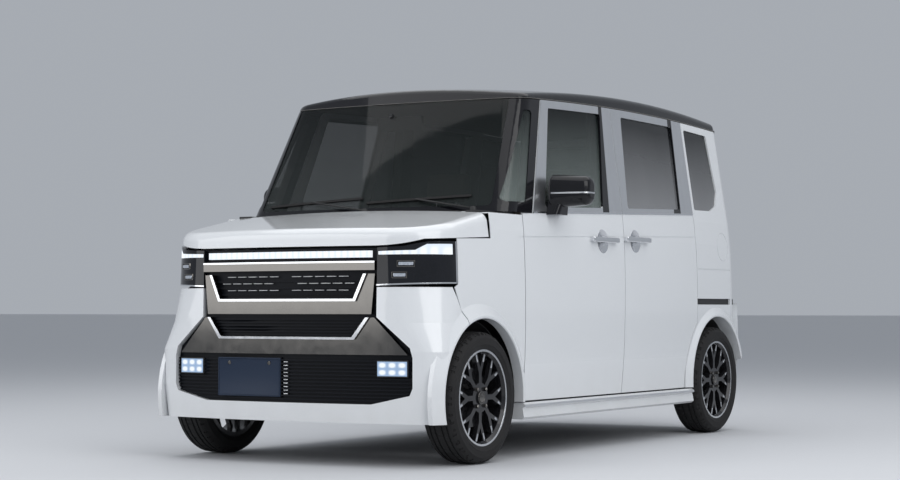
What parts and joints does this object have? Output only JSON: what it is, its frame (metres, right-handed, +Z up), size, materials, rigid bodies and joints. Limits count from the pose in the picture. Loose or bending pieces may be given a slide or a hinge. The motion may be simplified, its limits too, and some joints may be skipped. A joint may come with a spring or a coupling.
{
  "type": "kei car",
  "caption": "Tall boxy kei car with a black roof, hinged front doors, hood and tailgate, fixed sliding rear doors, steered front wheels and a furnished cabin.",
  "frame": {"origin": "on the ground under the middle of the car's box", "axes": "+X the car's left, -Y its front, +Z up"},
  "size_m": [1.804, 3.395, 1.7498],
  "materials": {
    "white_paint": "pearl white, clear coated",
    "black_paint": "gloss black, clear coated",
    "black_plastic": "grained black",
    "gloss_black": "gloss black",
    "chrome": "bright plated",
    "dark_chrome": "smoked plating",
    "clear_glass": "lightly tinted",
    "privacy_glass": "dark tinted",
    "lamp_white": "lit white",
    "lamp_dark": "smoked lens",
    "lamp_red": "red lens",
    "steel": "dark primer",
    "cast": "as cast",
    "tyre": "black rubber",
    "wheel": "gloss black with a machined lip",
    "seat_cloth": "dark cloth",
    "trim": "dark trim"
  },
  "bodies": {
    "body": {"floor_pan": "steel", "pillars": "white_paint", "door_hinges": "steel", "roof_panel": "black_paint", "front_pillars": "black_paint", "windscreen": "clear_glass", "front_quarter_glass": "clear_glass", "fenders": "white_paint", "cowl": "black_plastic", "front_bumper": "white_paint", "grille": "black_plastic", "grille_chrome": "dark_chrome", "light_bar": "lamp_white", "headlamps": "lamp_dark", "lamp_guides": "lamp_white", "fog_lamps": "lamp_white", "sliding_doors": "white_paint", "slider_handles": "chrome", "rear_quarters": "white_paint", "privacy_glass": "privacy_glass", "tail_lamps": "lamp_red", "rear_bumper": "white_paint", "side_sills": "white_paint", "wheel_liners": "black_plastic", "engine": "cast", "front_subframe": "steel", "rear_axle": "steel", "exhaust": "steel", "fuel_tank": "black_plastic", "dashboard": "trim", "front_seats": "seat_cloth", "rear_seat": "seat_cloth"},
    "front_door_left": {"door_front_left": "white_paint", "glass_front_left": "clear_glass", "mirror_left": "gloss_black", "handle_left": "chrome"},
    "steering_knuckle_left": {"knuckle_left": "cast"},
    "front_door_right": {"door_front_right": "white_paint", "glass_front_right": "clear_glass", "mirror_right": "gloss_black", "handle_right": "chrome"},
    "steering_knuckle_right": {"knuckle_right": "cast"},
    "hood_lid": {"hood": "white_paint"},
    "tail_door": {"tailgate": "white_paint", "tailgate_glass": "privacy_glass", "spoiler": "black_paint"},
    "helm": {"steering_wheel": "trim"},
    "wheel_front_left": {"tyre_front_left": "tyre", "rim_front_left": "wheel"},
    "wheel_front_right": {"tyre_front_right": "tyre", "rim_front_right": "wheel"},
    "wheel_rear_left": {"tyre_rear_left": "tyre", "rim_rear_left": "wheel"},
    "wheel_rear_right": {"tyre_rear_right": "tyre", "rim_rear_right": "wheel"}
  },
  "joints": [
    {"name": "door_left_swing", "type": "hinge", "parent": "body", "child": "front_door_left", "pos_m": [0.697, -0.8, 0.655], "axis": [0, 0, -1], "range_deg": [0, 65]},
    {"name": "door_right_swing", "type": "hinge", "parent": "body", "child": "front_door_right", "pos_m": [-0.697, -0.8, 0.655], "axis": [0, 0, 1], "range_deg": [0, 65]},
    {"name": "hood_lift", "type": "hinge", "parent": "body", "child": "hood_lid", "pos_m": [0, -1.135, 1.072], "axis": [-1, 0, 0], "range_deg": [0, 50]},
    {"name": "tailgate_lift", "type": "hinge", "parent": "body", "child": "tail_door", "pos_m": [0, 1.575, 1.69], "axis": [1, 0, 0], "range_deg": [0, 80]},
    {"name": "steer_left", "type": "hinge", "parent": "body", "child": "steering_knuckle_left", "pos_m": [0.625, -1.25, 0.18], "axis": [-0.257, 0, 0.9664], "range_deg": [-35, 35]},
    {"name": "steer_right", "type": "hinge", "parent": "body", "child": "steering_knuckle_right", "pos_m": [-0.625, -1.25, 0.18], "axis": [0.257, 0, 0.9664], "range_deg": [-35.1, 35.1]},
    {"name": "steering_wheel_turn", "type": "hinge", "parent": "body", "child": "helm", "pos_m": [-0.32, -0.5, 0.96], "axis": [0, 0.8988, 0.4384], "range_deg": [-561, 561]},
    {"name": "spin_front_left", "type": "hinge", "parent": "steering_knuckle_left", "child": "wheel_front_left", "pos_m": [0.6525, -1.25, 0.281], "axis": [1, 0, 0], "continuous": true},
    {"name": "spin_front_right", "type": "hinge", "parent": "steering_knuckle_right", "child": "wheel_front_right", "pos_m": [-0.6525, -1.25, 0.281], "axis": [1, 0, 0], "continuous": true},
    {"name": "spin_rear_left", "type": "hinge", "parent": "body", "child": "wheel_rear_left", "pos_m": [0.6525, 1.27, 0.281], "axis": [1, 0, 0], "continuous": true},
    {"name": "spin_rear_right", "type": "hinge", "parent": "body", "child": "wheel_rear_right", "pos_m": [-0.6525, 1.27, 0.281], "axis": [1, 0, 0], "continuous": true}
  ],
  "couplings": [
    {"joint": "steer_right", "follows": "steer_left", "ratio": 1},
    {"joint": "steering_wheel_turn", "follows": "steer_left", "ratio": 16}
  ]
}
